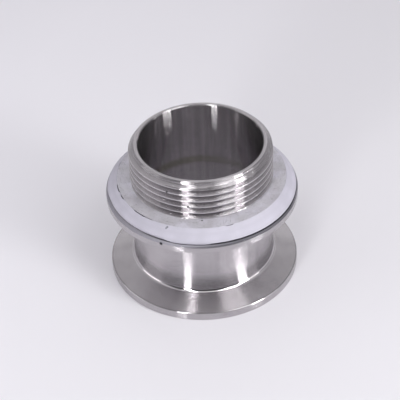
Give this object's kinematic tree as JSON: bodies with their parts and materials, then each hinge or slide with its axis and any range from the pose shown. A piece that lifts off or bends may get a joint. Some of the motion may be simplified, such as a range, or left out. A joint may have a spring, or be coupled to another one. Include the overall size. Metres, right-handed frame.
{
  "type": "sanitary clamp ferrule to male pipe thread adapter",
  "caption": "Short steel tube adapter: a clamp ferrule with a sloping back at one end, a straight neck, then a flange with a soft wedge seal ring under a male pipe thread.",
  "frame": {"origin": "centre of the bore in the ferrule's end face, which the part stands on", "axes": "+Z along the bore from the ferrule to the threaded end; the part is round about Z"},
  "size_m": [0.064, 0.064, 0.05],
  "materials": {
    "turned_steel": "stainless steel turned and lightly brushed round, with soft vertical streaks of light",
    "seal_rubber": "matt white silicone-like rubber"
  },
  "bodies": {
    "root": {"adapter_body": "turned_steel", "seal_ring": "seal_rubber"}
  },
  "joints": []
}
